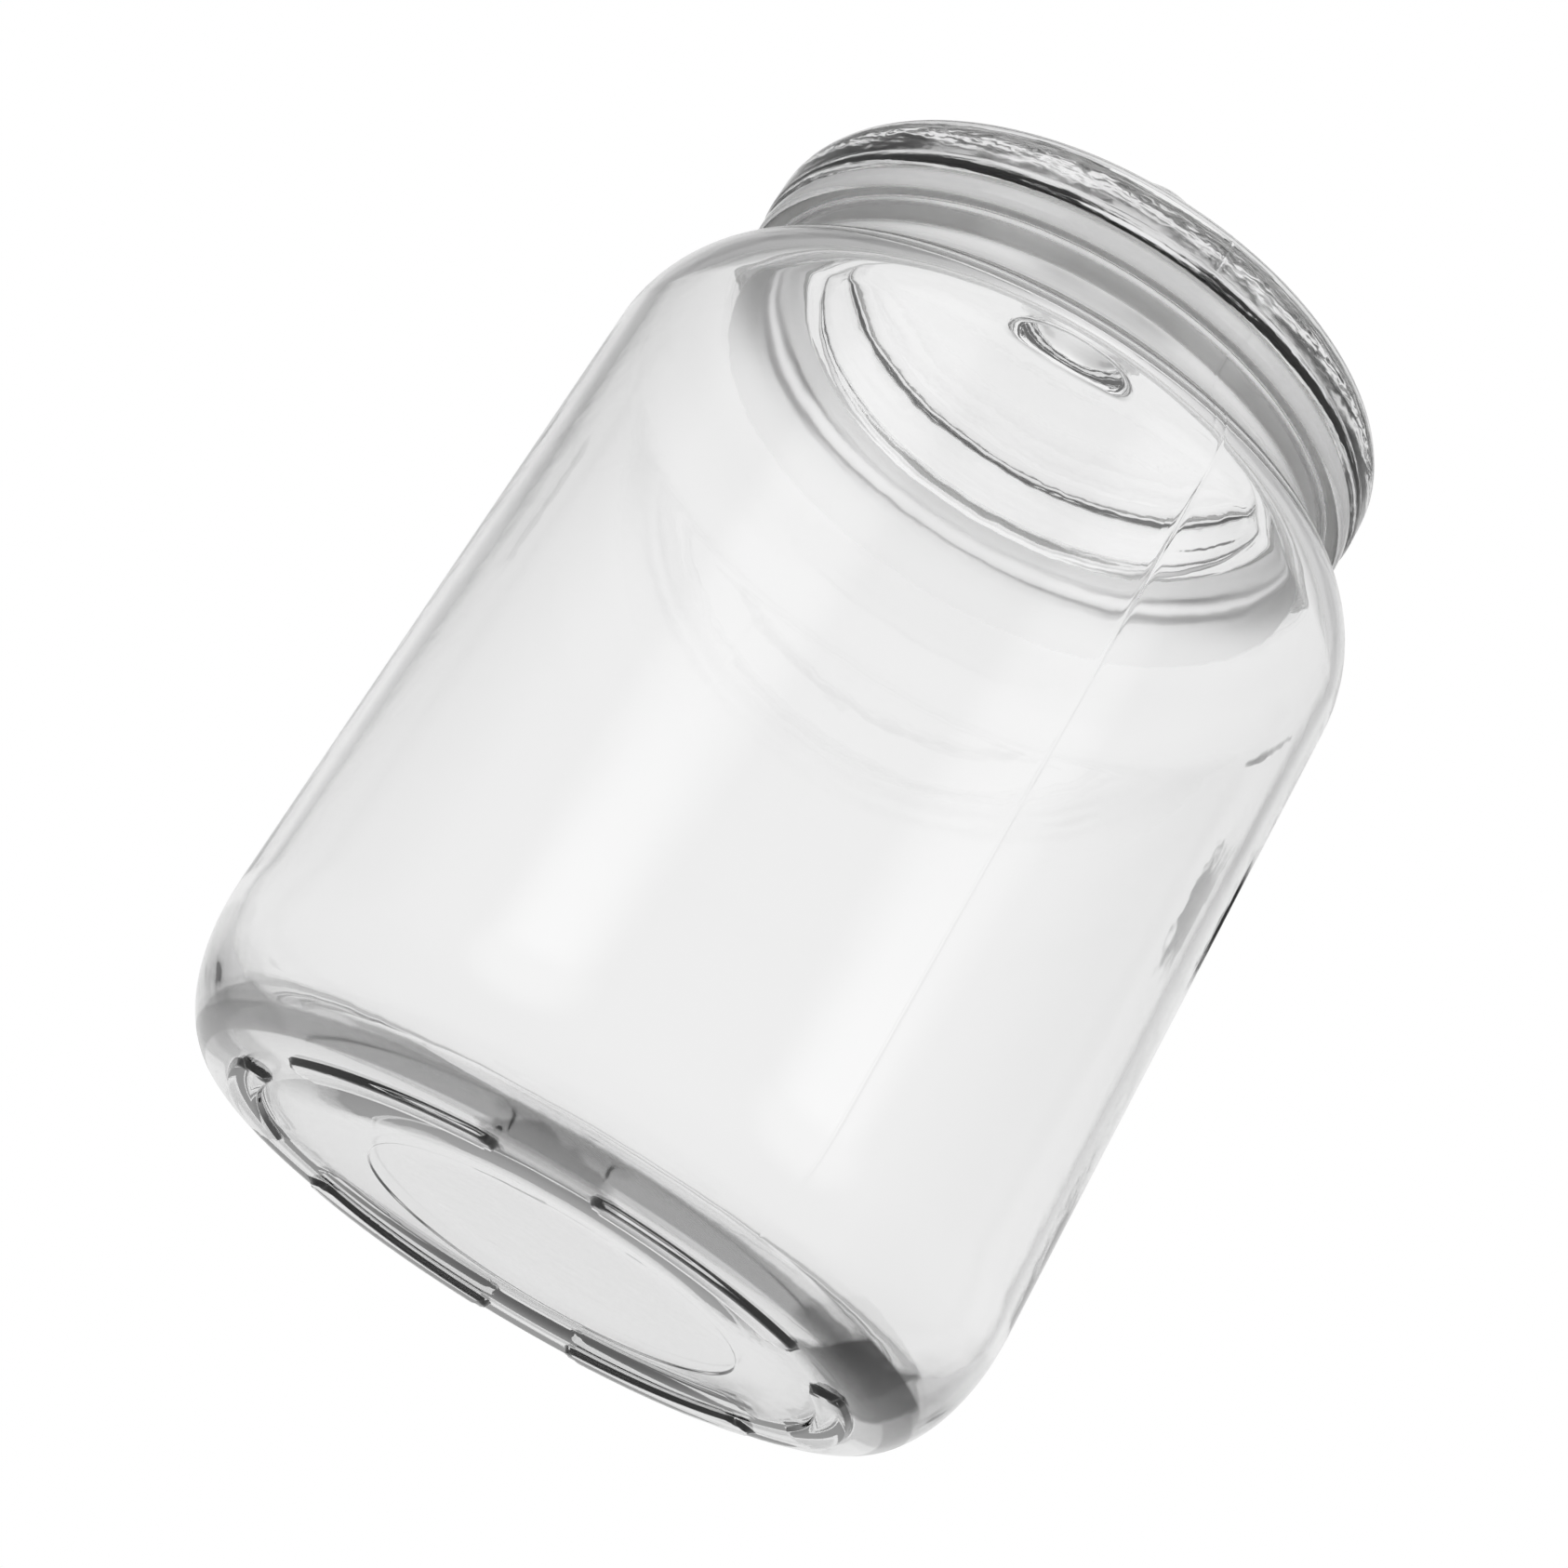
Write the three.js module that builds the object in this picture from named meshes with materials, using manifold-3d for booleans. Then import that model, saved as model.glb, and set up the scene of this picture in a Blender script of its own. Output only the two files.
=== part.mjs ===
// Glass storage jar: a blown jar body, a loose pressed lid with a ball knob, and a clear seal ring between them.
// Sizes are in millimetres. The jar stands on z = 0 with its axis along +Z.
import * as THREE from "three";
import { mergeVertices } from "three/addons/utils/BufferGeometryUtils.js";
import Module from "manifold-3d";

const wasm = await Module();
wasm.setup();

// Jar body: outside form
const bodyRadius = 55;
const heelInset = 10.5;
const heelHeight = 19.25;
const straightHeight = 93.3;
const shoulderRise = 13.2;
const shoulderRoundDegrees = 72;
const shoulderRoundShare = 0.59;
const shoulderHollowRise = 7.1;
const neckWall = 5.7;
const neckHeight = 9.8;
const lipHeight = 3.4;
const lipOverhang = 2.5;
const lipRound = 1.3;

// Jar body: glass thickness and inside form
const wallThickness = 2.6;
const baseThickness = 4;
const innerHeelInset = 13;
const innerHeelRise = 16;
const mouthRadius = 38;
const mouthRound = 1.2;
const waistDrop = 4.3;

// Underside: push-up with its moulded circle, and the raised bars that the jar stands on
const pushUp = 1.6;
const pushUpEase = 6;
const circleRadius = 26;
const circleStep = 0.15;
const barHeight = 0.75;
const barWidth = 5;
const barInset = 0.8;
const barEdge = 0.35;
const barCount = 6;
const barSpanDegrees = 44;
const barPhaseDegrees = -6;

// Seal ring
const sealThickness = 0.7;
const sealInset = 1.1;
const sealEdge = 0.15;

// Lid
const lidOverhang = 0.3;
const lidRimHeight = 9.6;
const lidLowerRound = 1.5;
const lidUpperRound = 5;
const lidDomeRise = 5.6;
const plugDepth = 3.1;
const plugWall = 3.1;
const plugRound = 0.9;
const plugFlare = 0.6;
const cavityDepth = 7.1;
const cavityFillet = 2.4;
const cavityCrown = 0.6;
const stemRadius = 8.5;
const stemFillet = 3.2;
const knobRadius = 10.5;
const knobStand = 3.4;

// Clearances
const plugClearance = 0.8;
const seatClearance = 0.05;
const sealFitClearance = 0.2;

// Facets round the axis and along the curves
const turnFacets = 48;
const curveFacets = 6;
const knobFacets = 9;

// Heights and radii that follow from the sizes above
const bearingLevel = barHeight;
const bearingRadius = bodyRadius - heelInset;
const barOuterRadius = bearingRadius - barInset;
const barInnerRadius = barOuterRadius - barWidth;
const slopeFoot = barInnerRadius - barInset;
const heelTop = bearingLevel + heelHeight;
const shoulderStart = heelTop + straightHeight;
const shoulderTop = shoulderStart + shoulderRise;
const neckRadius = mouthRadius + neckWall;
const lipBottom = shoulderTop + neckHeight;
const lipTop = lipBottom + lipHeight;
const lipRadius = neckRadius + lipOverhang;
const innerRadius = bodyRadius - wallThickness;
const floorLevel = bearingLevel + baseThickness;
const waistLevel = lipBottom - waistDrop;
const flareTop = lipTop - mouthRound;

const sealBottom = lipTop + seatClearance;
const sealTop = sealBottom + sealThickness;
const seatLevel = sealTop + seatClearance;
const plugRadius = mouthRadius - plugClearance;
const plugBottom = seatLevel - plugDepth;
const cavityRadius = plugRadius - plugWall;
const ceilingLevel = seatLevel + cavityDepth;
const lidRadius = lipRadius + lidOverhang;
const lidRimTop = seatLevel + lidRimHeight;
const domeRadius = lidRadius - lidUpperRound;

// Points along part of an ellipse in the (radius, height) plane, angles in degrees.
function arc(centreRadius, centreHeight, alongRadius, alongHeight, fromDegrees, toDegrees, facets = curveFacets) {
  const points = [];
  for (let i = 0; i <= facets; i++) {
    const angle = THREE.MathUtils.degToRad(fromDegrees + ((toDegrees - fromDegrees) * i) / facets);
    points.push([centreRadius + alongRadius * Math.cos(angle), centreHeight + alongHeight * Math.sin(angle)]);
  }
  return points;
}

// A closed solid turned round +Z from [radius, height] points that run up the outside.
function turned(profile) {
  const kept = profile.filter((p, i) => i === 0 || Math.hypot(p[0] - profile[i - 1][0], p[1] - profile[i - 1][1]) > 1e-4);
  const points = kept.map(([radius, height]) => new THREE.Vector2(Math.max(radius, 0), height));
  return new THREE.LatheGeometry(points, turnFacets).rotateX(Math.PI / 2);
}

// Geometry to a solid that can be joined or cut, and back.
function solidOf(geometry) {
  const bare = geometry.index ? geometry.clone() : geometry;
  bare.deleteAttribute("normal");
  bare.deleteAttribute("uv");
  const merged = mergeVertices(bare, 1e-4);
  const corners = merged.index.array;
  const triangles = [];
  for (let i = 0; i < corners.length; i += 3) {
    const [a, b, c] = [corners[i], corners[i + 1], corners[i + 2]];
    if (a !== b && b !== c && c !== a) triangles.push(a, b, c);
  }
  const mesh = new wasm.Mesh({
    numProp: 3,
    vertProperties: new Float32Array(merged.attributes.position.array),
    triVerts: new Uint32Array(triangles),
  });
  return new wasm.Manifold(mesh);
}

function geometryOf(solid) {
  const mesh = solid.getMesh();
  const geometry = new THREE.BufferGeometry();
  geometry.setAttribute("position", new THREE.BufferAttribute(new Float32Array(mesh.vertProperties), 3));
  geometry.setIndex(new THREE.BufferAttribute(new Uint32Array(mesh.triVerts), 1));
  geometry.computeVertexNormals();
  return geometry;
}

// A line of [radius, height] points moved to its left.
function offset(points, distance) {
  return points.map((point, i) => {
    const before = points[Math.max(i - 1, 0)];
    const after = points[Math.min(i + 1, points.length - 1)];
    const along = new THREE.Vector2(after[0] - before[0], after[1] - before[1]).normalize();
    return [point[0] - distance * along.y, point[1] + distance * along.x];
  });
}

// How far the base has risen into the push-up at this radius: 0 at the bars, 1 over the middle
function pushUpShare(radius) {
  return THREE.MathUtils.smoothstep(slopeFoot - radius, 0, slopeFoot - circleRadius + pushUpEase);
}

// Outside of the shoulder from the straight wall in to the neck: a round, then a hollow bend that goes on from its slope
function shoulderLine() {
  const step = bodyRadius - neckRadius;
  const roundEnd = THREE.MathUtils.degToRad(shoulderRoundDegrees);
  const roundRun = (step * shoulderRoundShare) / (1 - Math.cos(roundEnd));
  const round = arc(bodyRadius - roundRun, shoulderStart, roundRun, shoulderRise, 0, shoulderRoundDegrees, curveFacets + 2);
  const hollowRun = step * (1 - shoulderRoundShare);
  const slopeAtJoin = (roundRun / shoulderRise) * Math.tan(roundEnd);
  const hollowCosine = 1 / ((slopeAtJoin * shoulderHollowRise) / hollowRun - 1);
  const hollowEnd = Math.acos(hollowCosine);
  const bendRun = hollowRun / (1 - hollowCosine);
  const bendRise = shoulderHollowRise / Math.sin(hollowEnd);
  const bendLevel = round[round.length - 1][1] + shoulderHollowRise;
  const bendDegrees = THREE.MathUtils.radToDeg(hollowEnd);
  const hollow = arc(neckRadius + bendRun, bendLevel, bendRun, bendRise, 180 + bendDegrees, 180);
  return [...round, ...hollow.slice(1)];
}

// Jar body, from the middle of the underside round the outside to the middle of the inner floor
function jarProfile() {
  const lipCore = lipRadius - lipRound;
  const innerHeelFoot = innerRadius - innerHeelInset;
  const slope = [0.35, 0.65].map((share) => circleRadius + (slopeFoot - circleRadius) * share);
  const underside = (radius) => bearingLevel + (pushUp - circleStep) * pushUpShare(radius);
  const floorAt = (radius) => [radius, floorLevel + pushUp * pushUpShare(radius)];
  const shoulder = shoulderLine();
  const innerShoulder = offset(shoulder, wallThickness)
    .reverse()
    .filter((point) => point[1] < waistLevel);
  const waistRadius = innerShoulder[0][0];
  const flare = [0.2, 0.4, 0.6, 0.8].map((share) => [
    mouthRadius + (waistRadius - mouthRadius) * THREE.MathUtils.smoothstep(share, 0, 1),
    flareTop + (waistLevel - flareTop) * share,
  ]);
  return [
    [0, bearingLevel + pushUp],
    [circleRadius - circleStep, underside(circleRadius) + circleStep],
    [circleRadius, underside(circleRadius)],
    ...slope.map((radius) => [radius, underside(radius)]),
    [slopeFoot, bearingLevel],
    ...arc(bearingRadius, heelTop, heelInset, heelHeight, -90, 0, curveFacets + 4),
    ...shoulder,
    [neckRadius, lipBottom],
    ...arc(lipCore, lipBottom + lipRound, lipRound, lipRound, -90, 0, 3),
    ...arc(lipCore, lipTop - lipRound, lipRound, lipRound, 0, 90, 3),
    ...arc(mouthRadius + mouthRound, lipTop - mouthRound, mouthRound, mouthRound, 90, 180, 3),
    ...flare,
    ...innerShoulder,
    ...arc(innerHeelFoot, floorLevel + innerHeelRise, innerHeelInset, innerHeelRise, 0, -90, curveFacets + 2),
    floorAt(slopeFoot),
    ...slope.toReversed().map(floorAt),
    floorAt(circleRadius),
    [0, floorLevel + pushUp],
  ];
}

// One raised bar: a band along a circle with round ends, standing on z = 0 and sunk into the base glass
function bar(centreDegrees) {
  const middleRadius = (barInnerRadius + barOuterRadius) / 2;
  const endRadius = barWidth / 2 - barEdge;
  const half = THREE.MathUtils.degToRad(barSpanDegrees / 2) - barWidth / 2 / middleRadius;
  const outline = new THREE.Shape();
  outline.absarc(0, 0, middleRadius + endRadius, -half, half, false);
  const endAt = (angle) => [middleRadius * Math.cos(angle), middleRadius * Math.sin(angle)];
  outline.absarc(...endAt(half), endRadius, half, half + Math.PI, false);
  outline.absarc(0, 0, middleRadius - endRadius, half, -half, true);
  outline.absarc(...endAt(-half), endRadius, Math.PI - half, 2 * Math.PI - half, false);
  const geometry = new THREE.ExtrudeGeometry(outline, {
    depth: barHeight,
    curveSegments: curveFacets,
    bevelEnabled: true,
    bevelThickness: barEdge,
    bevelSize: barEdge,
    bevelSegments: 1,
  });
  return geometry.translate(0, 0, barEdge).rotateZ(THREE.MathUtils.degToRad(centreDegrees));
}

function jarBody() {
  let solid = solidOf(turned(jarProfile()));
  for (let i = 0; i < barCount; i++) {
    solid = solid.add(solidOf(bar(barPhaseDegrees + (360 * i) / barCount)));
  }
  return geometryOf(solid);
}

// Seal ring: a flat clear ring round the lid's plug, between the lip and the lid's seat
function sealRing() {
  const inner = plugRadius + sealFitClearance;
  const outer = lipRadius - sealInset;
  return turned([
    [inner, sealBottom],
    [outer - sealEdge, sealBottom],
    [outer, sealBottom + sealEdge],
    [outer, sealTop - sealEdge],
    [outer - sealEdge, sealTop],
    [inner, sealTop],
    [inner, sealBottom],
  ]);
}

// Lid: hollow underside with a short plug, thick rounded rim, shallow dome, stem and ball knob
function lid() {
  const cavityCore = cavityRadius - cavityFillet;
  const plugInner = cavityRadius + plugFlare;
  const rimCore = lidRadius - lidLowerRound;
  const stemFoot = stemRadius + stemFillet;
  const domeHeight = (radius) => lidRimTop + lidDomeRise * (1 - (radius / domeRadius) ** 2);
  const stemBase = domeHeight(stemFoot);
  const joinDegrees = THREE.MathUtils.radToDeg(Math.acos(stemRadius / knobRadius));
  const joinDrop = Math.sqrt(knobRadius ** 2 - stemRadius ** 2);
  const knobCentre = stemBase + stemFillet + knobStand + joinDrop;
  const dome = [0.9, 0.75, 0.58, 0.42].map((share) => {
    const radius = stemFoot + (domeRadius - stemFoot) * share;
    return [radius, domeHeight(radius)];
  });
  return turned([
    [0, ceilingLevel + cavityCrown],
    [cavityCore / 2, ceilingLevel + cavityCrown * 0.7],
    ...arc(cavityCore, ceilingLevel - cavityFillet, cavityFillet, cavityFillet, 90, 0, 4),
    [cavityRadius, seatLevel + plugRound],
    [plugInner, plugBottom + plugRound],
    ...arc(plugInner + plugRound, plugBottom + plugRound, plugRound, plugRound, 180, 270, 3),
    ...arc(plugRadius - plugRound, plugBottom + plugRound, plugRound, plugRound, -90, 0, 3),
    [plugRadius, seatLevel],
    ...arc(rimCore, seatLevel + lidLowerRound, lidLowerRound, lidLowerRound, -90, 0, 4),
    ...arc(domeRadius, lidRimTop - lidUpperRound, lidUpperRound, lidUpperRound, 0, 80, curveFacets),
    ...dome,
    ...arc(stemFoot, stemBase + stemFillet, stemFillet, stemFillet, -90, -180, 4),
    ...arc(0, knobCentre, knobRadius, knobRadius, -joinDegrees, 90, knobFacets),
  ]);
}

const jarGlass = new THREE.MeshStandardMaterial({ color: 0xeef2f1, roughness: 0.04, metalness: 0 });
const lidGlass = new THREE.MeshStandardMaterial({ color: 0xe9eeed, roughness: 0.05, metalness: 0 });
const sealClear = new THREE.MeshStandardMaterial({ color: 0xe6e6e2, roughness: 0.45, metalness: 0 });
for (const [glass, opacity] of [
  [jarGlass, 0.35],
  [lidGlass, 0.35],
  [sealClear, 0.6],
]) {
  glass.transparent = true;
  glass.opacity = opacity;
}

function named(name, geometry, material) {
  const mesh = new THREE.Mesh(geometry, material);
  mesh.name = name;
  return mesh;
}

const jar = new THREE.Group();
jar.name = "storage_jar";
jar.add(named("jar_body", jarBody(), jarGlass));
jar.add(named("seal_ring", sealRing(), sealClear));
jar.add(named("lid", lid(), lidGlass));

export default jar;
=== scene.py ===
import math

import bpy
from mathutils import Matrix, Vector, noise


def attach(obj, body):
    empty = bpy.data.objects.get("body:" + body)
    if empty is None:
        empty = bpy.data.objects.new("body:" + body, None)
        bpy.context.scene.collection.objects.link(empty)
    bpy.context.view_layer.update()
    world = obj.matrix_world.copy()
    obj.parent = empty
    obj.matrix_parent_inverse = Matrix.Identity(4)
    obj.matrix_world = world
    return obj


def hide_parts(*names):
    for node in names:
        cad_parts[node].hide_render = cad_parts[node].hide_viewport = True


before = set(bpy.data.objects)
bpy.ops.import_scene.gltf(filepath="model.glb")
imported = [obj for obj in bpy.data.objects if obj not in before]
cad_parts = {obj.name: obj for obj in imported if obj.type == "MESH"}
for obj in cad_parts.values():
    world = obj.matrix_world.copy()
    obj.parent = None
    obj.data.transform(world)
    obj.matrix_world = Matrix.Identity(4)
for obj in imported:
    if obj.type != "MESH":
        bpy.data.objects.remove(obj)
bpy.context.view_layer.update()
scene = bpy.context.scene
scene.view_settings.view_transform = "Standard"

MM = 0.001
FULL_TURN = 2 * math.pi

# Jar body sizes in millimetres, as in the solids
BODY_RADIUS = 55.0
HEEL_INSET = 10.5
HEEL_HEIGHT = 19.25
STRAIGHT_HEIGHT = 93.3
SHOULDER_RISE = 13.2
SHOULDER_ROUND = math.radians(72.0)
SHOULDER_ROUND_SHARE = 0.59
SHOULDER_HOLLOW_RISE = 7.1
NECK_WALL = 5.7
NECK_HEIGHT = 9.8
LIP_HEIGHT = 3.4
LIP_OVERHANG = 2.5
LIP_ROUND = 1.3
LIP_FILLET = 0.35
WALL_THICKNESS = 2.6
BASE_THICKNESS = 4.0
INNER_HEEL_INSET = 13.0
INNER_HEEL_RISE = 16.0
MOUTH_RADIUS = 38.0
MOUTH_ROUND = 1.2
WAIST_DROP = 4.3

# Underside
PUSH_UP = 1.6
PUSH_UP_EASE = 6.0
CIRCLE_RADIUS = 26.0
CIRCLE_STEP = 0.15
CIRCLE_EDGE = 0.5
CIRCLE_FADE = 11.0
CIRCLE_SHIFT = (1.9, 3.0)
BAR_HEIGHT = 0.75
BAR_WIDTH = 5.0
BAR_INSET = 0.8
BAR_COUNT = 6
BAR_SPAN = math.radians(44.0)
BAR_PHASE = math.radians(-6.0)
BAR_FLAT_SHARE = 0.8

# Seal ring and lid
SEAL_THICKNESS = 0.7
SEAL_INSET = 1.1
SEAL_EDGE = 0.15
LID_OVERHANG = 0.3
LID_RIM_HEIGHT = 9.6
LID_LOWER_ROUND = 1.5
LID_UPPER_ROUND = 5.0
LID_DOME_RISE = 5.6
PLUG_DEPTH = 3.1
PLUG_WALL = 3.1
PLUG_ROUND = 0.9
PLUG_FLARE = 0.6
PLUG_ROOT = 0.15
CAVITY_DEPTH = 7.1
CAVITY_FILLET = 2.4
CAVITY_CROWN = 0.6
STEM_RADIUS = 8.5
STEM_FILLET = 3.2
KNOB_RADIUS = 10.5
KNOB_STAND = 3.4
PLUG_CLEARANCE = 0.8
SEAT_CLEARANCE = 0.05
SEAL_FIT_CLEARANCE = 0.2

# Levels and radii that follow from them
BEARING_LEVEL = BAR_HEIGHT
BEARING_RADIUS = BODY_RADIUS - HEEL_INSET
BAR_OUTER = BEARING_RADIUS - BAR_INSET
BAR_INNER = BAR_OUTER - BAR_WIDTH
BAR_MIDDLE = (BAR_OUTER + BAR_INNER) / 2
SLOPE_FOOT = BAR_INNER - BAR_INSET
HEEL_TOP = BEARING_LEVEL + HEEL_HEIGHT
SHOULDER_START = HEEL_TOP + STRAIGHT_HEIGHT
SHOULDER_TOP = SHOULDER_START + SHOULDER_RISE
NECK_RADIUS = MOUTH_RADIUS + NECK_WALL
LIP_BOTTOM = SHOULDER_TOP + NECK_HEIGHT
LIP_TOP = LIP_BOTTOM + LIP_HEIGHT
LIP_RADIUS = NECK_RADIUS + LIP_OVERHANG
INNER_RADIUS = BODY_RADIUS - WALL_THICKNESS
FLOOR_LEVEL = BEARING_LEVEL + BASE_THICKNESS
WAIST_LEVEL = LIP_BOTTOM - WAIST_DROP
FLARE_TOP = LIP_TOP - MOUTH_ROUND
SEAL_BOTTOM = LIP_TOP + SEAT_CLEARANCE
SEAL_TOP = SEAL_BOTTOM + SEAL_THICKNESS
SEAT_LEVEL = SEAL_TOP + SEAT_CLEARANCE
PLUG_RADIUS = MOUTH_RADIUS - PLUG_CLEARANCE
PLUG_BOTTOM = SEAT_LEVEL - PLUG_DEPTH
CAVITY_RADIUS = PLUG_RADIUS - PLUG_WALL
CAVITY_CORE = CAVITY_RADIUS - CAVITY_FILLET
CEILING_LEVEL = SEAT_LEVEL + CAVITY_DEPTH
LID_RADIUS = LIP_RADIUS + LID_OVERHANG
LID_RIM_TOP = SEAT_LEVEL + LID_RIM_HEIGHT
DOME_RADIUS = LID_RADIUS - LID_UPPER_ROUND
STEM_FOOT = STEM_RADIUS + STEM_FILLET

# Mould seams: where the two halves of each mould met
JAR_SEAM = math.radians(-68.0)
LID_SEAM = math.radians(-78.0)
SEAM_HEIGHT = 0.06
SEAM_HALF_WIDTH = 0.22
SEAM_FOOT = 4.0
SEAM_FOOT_FADE = 6.0
SEAM_FADE = 2.0

# Unevenness of the glass: (size, circle through the noise, rise through it per millimetre, seed)
JAR_INSIDE_WAVES = [(0.16, 1.3, 0.012, 3.0), (0.07, 3.2, 0.02, 9.0)]
JAR_INSIDE_WAVE_FROM = 20.0
JAR_INSIDE_WAVE_RUN = 25.0
LID_OUTSIDE_WAVES = [(0.06, 2.0, 0.05, 1.0)]
LID_OUTSIDE_WAVE_FROM = 12.0
LID_OUTSIDE_WAVE_RUN = 10.0
CAVITY_WAVES = [(0.15, 22.0, 0.6, 5.0)]

# Mesh fineness: points round the axis, rows along each part of an outline, and where its first row lies
FINE_COLUMNS = 360
END_COLUMNS = 24
PLAIN_COLUMNS = 240
SEAM_COLUMN_DEGREES = (-0.9, -0.45, -0.3, -0.15, 0.0, 0.15, 0.3, 0.45, 0.9)
LEAST_COLUMN_GAP = math.radians(0.05)
FIRST_RING_SHARE = 0.12
MIDDLE_ROWS = 9
EDGE_ROWS = 8
SLOPE_ROWS = 8
BAR_FLAT_ROWS = 5
BEARING_ROWS = 2
HEEL_FOOT_ANGLE = -88
HEEL_ROWS = 24
INNER_HEEL_ROWS = 44
FLOOR_RINGS = 20
WALL_ROWS = 12
FIRST_WALL_ROW = 4.0
INNER_WALL_ROWS = 24
FIRST_INNER_WALL_ROW = 2.0
SHOULDER_ROWS = 24
HOLLOW_ROWS = 16
NECK_ROWS = 3
FIRST_NECK_ROW = 1.0
FLARE_ROWS = 16
FILLET_ROWS = 4
ROUND_ROWS = 10
PLUG_ROUND_ROWS = 8
PLUG_FLARE_ROWS = 4
CEILING_ROWS = 10
CAVITY_FILLET_ROWS = 12
CAVITY_WALL_ROWS = 2
FIRST_CAVITY_ROW = 1.0
RIM_ROWS = 3
FIRST_RIM_ROW = 0.6
RIM_TOP_ROWS = 16
RIM_TOP_ANGLE = 80
DOME_SHARES = (0.97, 0.92, 0.85, 0.77, 0.69, 0.61, 0.53, 0.45, 0.37, 0.3, 0.23, 0.17, 0.11, 0.05)
STEM_START_ANGLE = -95
KNOB_ROWS = 30
KNOB_TOP_ANGLE = 86

# Clear materials
GLASS_IOR = 1.52
GLASS_COLOUR = (0.986, 0.986, 0.986)
JAR_WAVES = [(60.0, 0.00002), (250.0, 0.00001)]
LID_WAVES = [(120.0, 0.0002), (500.0, 0.00004)]
WAVE_DETAIL = 1.0
SEAL_IOR = 1.41
SEAL_COLOUR = (0.86, 0.86, 0.85)
SEAL_ROUGHNESS = 0.4
SEAL_CLEAR_SHARE = 0.6

# Glass that is less clear, and painted shade darkening the glass colour at the heel and base: sizes in
# millimetres, roughness and depth of the painted shade as shares
RAGGED_SCALE = 300.0
RAGGED_DETAIL = 3.0
HEEL_BAND_TOP = 3.9
HEEL_BAND_FOOT = 47.0
HEEL_BAND_EDGE = 0.6
HEEL_RAGGED = 0.6
HEEL_DULL = 0.16
# Painted shade: the heel band and the whole underside get a darker glass colour, standing in for dark
# surroundings seen through the glass
HEEL_PAINTED_SHADE = 0.72
BASE_PAINTED_SHADE = 0.25
UNDERSIDE_EDGE = 0.2
NECK_DULL_FROM = 123.0
NECK_DULL_FULL = 127.0
NECK_SKIN = 0.1
NECK_SKIN_FULL = 0.5
NECK_DULL = 0.35
# Dark colour of the painted shade mixed into the glass
PAINTED_SHADE_COLOUR = (0.01, 0.01, 0.01)
# Painted shade on one side of the slope inside the bars
SLOPE_SIDE = math.radians(-105.0)
SLOPE_SIDE_FROM = 5.0
SLOPE_SIDE_FULL = 28.0
SLOPE_SHADE_FROM = 22.0
SLOPE_SHADE_FULL = 34.0
SLOPE_SHADE_EDGE = 0.5
SLOPE_PAINTED_SHADE = 0.75
PATCH_RAGGED = 5.0
PATCH_FOOT_FROM = 38.0
PATCH_FOOT_FULL = 44.0
LID_DULL = 0.03
LID_LOW_DULL = 0.08
LID_LOW_DULL_FULL = 2.0
LID_LOW_DULL_GONE = 5.0

# Painted shade patches in the heel, darkening the glass colour in place of dark surroundings seen through
# the glass: (azimuth in degrees, radius, full within, gone beyond, depth)
PAINTED_SHADE_PATCHES = [(-34, 46, 13, 17, 1.0), (-96, 42, 10, 13, 0.9), (-160, 44, 8, 13, 0.6)]

# Floor, sizes in metres
FLOOR_REACH = 6.0
FLOOR_CORNERS = 180
FLOOR_HEIGHT = -0.0003
FLOOR_COLOUR = (0.86, 0.86, 0.86)
FLOOR_ROUGHNESS = 0.9

# Studio cards, angles in degrees: (azimuth, elevation, full within, gone beyond, change of level)
STUDIO_LEVEL = 0.86
DARKEST_LEVEL = 0.02
THROUGH_LEVEL = 0.94
STUDIO = [
    (0, -90, 50, 82, -0.12),
    (32, 52, 10, 40, -0.2),
    (148, 52, 10, 40, -0.4),
    (158, 12, 6, 36, -0.16),
    (-90, 20, 30, 95, 0.3),
]
STUDIO += [(azimuth, elevation, 5, 20, 1.1) for azimuth in (-48, -128) for elevation in (6, 26)]
STUDIO += [(azimuth, 23.65, 0.8, 1.6, -0.8) for azimuth in range(67, 75, 2)]
STUDIO += [(azimuth, elevation, 2, 8, -0.16) for azimuth in (51, 129) for elevation in range(-10, 61, 10)]

# Camera: below the base, turned so that the jar leans to the right as in the photograph
LENS = 69.2
SENSOR = 36.0
CLIP_NEAR = 0.01
CLIP_FAR = 20.0
CAMERA_PLACE = (-0.003685, -0.364925, -0.076285)
CAMERA_RIGHT = (0.8571, -0.1926, 0.4778)
CAMERA_UP = (-0.5152, -0.3204, 0.7950)


# Outlines in the (radius, height) plane
def arc(centre_r, centre_z, along_r, along_z, start, end, steps):
    """Points along part of an ellipse, angles in degrees."""
    points = []
    for i in range(steps + 1):
        angle = math.radians(start + (end - start) * i / steps)
        points.append((centre_r + along_r * math.cos(angle), centre_z + along_z * math.sin(angle)))
    return points


def corner(centre_r, centre_z, radius, start, end, steps):
    """Points along part of a circle, angles in degrees."""
    return arc(centre_r, centre_z, radius, radius, start, end, steps)


def line(start, end, steps):
    """Points from start up to, but without, end."""
    return [tuple(a + (b - a) * i / steps for a, b in zip(start, end)) for i in range(steps)]


def offset(points, distance):
    """A line of points moved to its left by distance."""
    moved = []
    for i, point in enumerate(points):
        before = points[max(i - 1, 0)]
        after = points[min(i + 1, len(points) - 1)]
        along_r = after[0] - before[0]
        along_z = after[1] - before[1]
        length = math.hypot(along_r, along_z)
        moved.append((point[0] - distance * along_z / length, point[1] + distance * along_r / length))
    return moved


def smooth_step(t):
    """Smooth rise from 0 to 1 as t goes from 0 to 1."""
    t = min(max(t, 0.0), 1.0)
    return t * t * (3 - 2 * t)


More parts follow.
